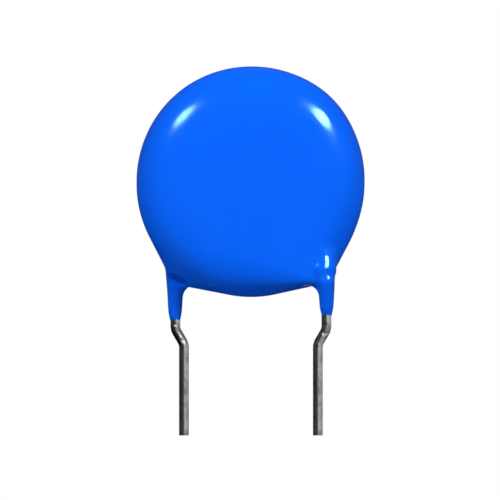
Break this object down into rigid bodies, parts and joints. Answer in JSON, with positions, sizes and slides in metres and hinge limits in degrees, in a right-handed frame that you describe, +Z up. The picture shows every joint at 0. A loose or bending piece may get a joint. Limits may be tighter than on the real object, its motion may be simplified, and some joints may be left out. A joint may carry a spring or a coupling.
{
  "type": "ceramic disc capacitor",
  "caption": "Round blue resin-coated ceramic disc capacitor standing on edge, with kinked wire leads for a circuit board.",
  "frame": {"origin": "on the seating plane just under the lead kinks, midway between the two leads", "axes": "+Z up through the body away from the board, +X towards the right lead, -Y out of the front face"},
  "size_m": [0.0128, 0.0042, 0.0207],
  "materials": {
    "epoxy": "glossy blue epoxy dip",
    "ceramic": "bare fired ceramic",
    "silver": "fired silver, matt",
    "tinned_wire": "tinned wire, satin",
    "solder": "soft solder, bright"
  },
  "bodies": {
    "root": {"coating": "epoxy", "ceramic_disc": "ceramic", "front_electrode": "silver", "rear_electrode": "silver", "right_lead": "tinned_wire", "left_lead": "tinned_wire", "front_solder": "solder", "rear_solder": "solder"}
  },
  "joints": []
}
